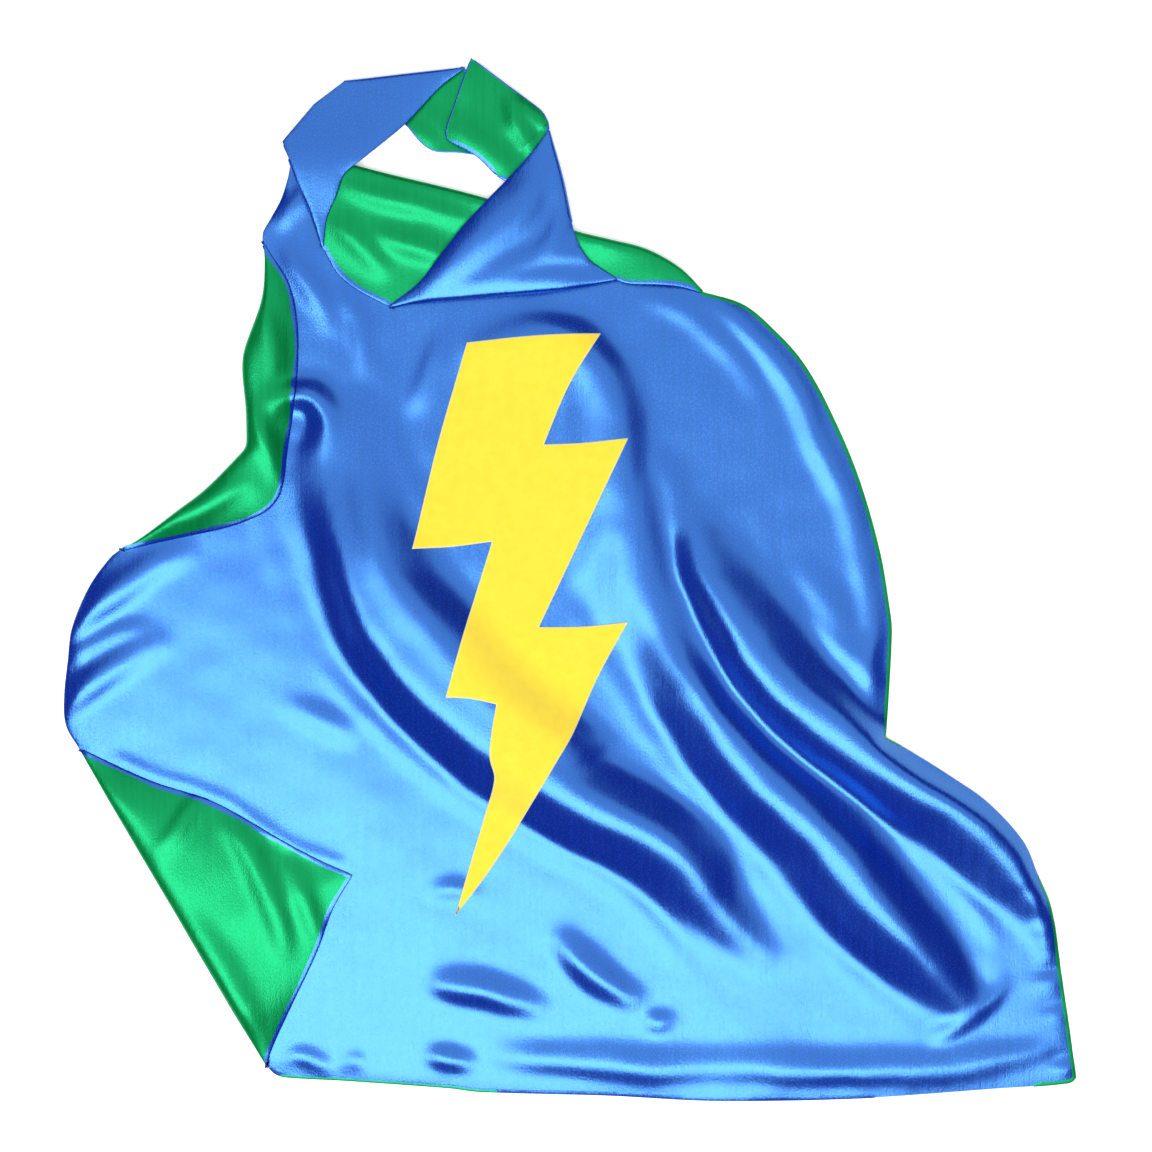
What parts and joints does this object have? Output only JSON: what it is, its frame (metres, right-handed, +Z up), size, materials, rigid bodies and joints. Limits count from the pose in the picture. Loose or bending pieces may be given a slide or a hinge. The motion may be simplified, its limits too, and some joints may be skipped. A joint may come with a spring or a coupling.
{
  "type": "superhero cape",
  "caption": "Child's reversible satin cape with a felt bolt applique, laid out flat with folds; neck straps close with hook-and-loop.",
  "frame": {"origin": "centre of the cape's outline in plan, on the underside that rests on the table", "axes": "+Z up from the table, out of the spread cape; +Y from the hem to the neck; +X across the cape"},
  "size_m": [0.6883, 0.709, 0.0151],
  "materials": {
    "face_satin": "blue satin, bright face",
    "lining_satin": "green satin, bright face",
    "seam_thread": "blue polyester thread",
    "bolt_felt": "yellow felt, matte",
    "bond_film": "heat-bonded adhesive film",
    "closure_tape": "hook and loop tape",
    "patch_thread": "blue polyester thread"
  },
  "bodies": {
    "cape": {"face_panel": "face_satin", "lining_panel": "lining_satin", "edge_seam_thread": "seam_thread", "hem_closing_stitches": "seam_thread", "lightning_bolt": "bolt_felt", "bolt_bond_film": "bond_film", "loop_patch": "closure_tape", "loop_patch_stitches": "patch_thread"},
    "strap_end": {"strap_end_face": "face_satin", "strap_end_lining": "lining_satin", "strap_end_seam_thread": "seam_thread", "hook_patch": "closure_tape", "hook_patch_stitches": "patch_thread"}
  },
  "joints": [
    {"name": "closure_peel", "type": "hinge", "parent": "cape", "child": "strap_end", "pos_m": [-0.0353, 0.2931, 0.005], "axis": [0.6842, 0.7293, 0], "range_deg": [0, 80]}
  ]
}
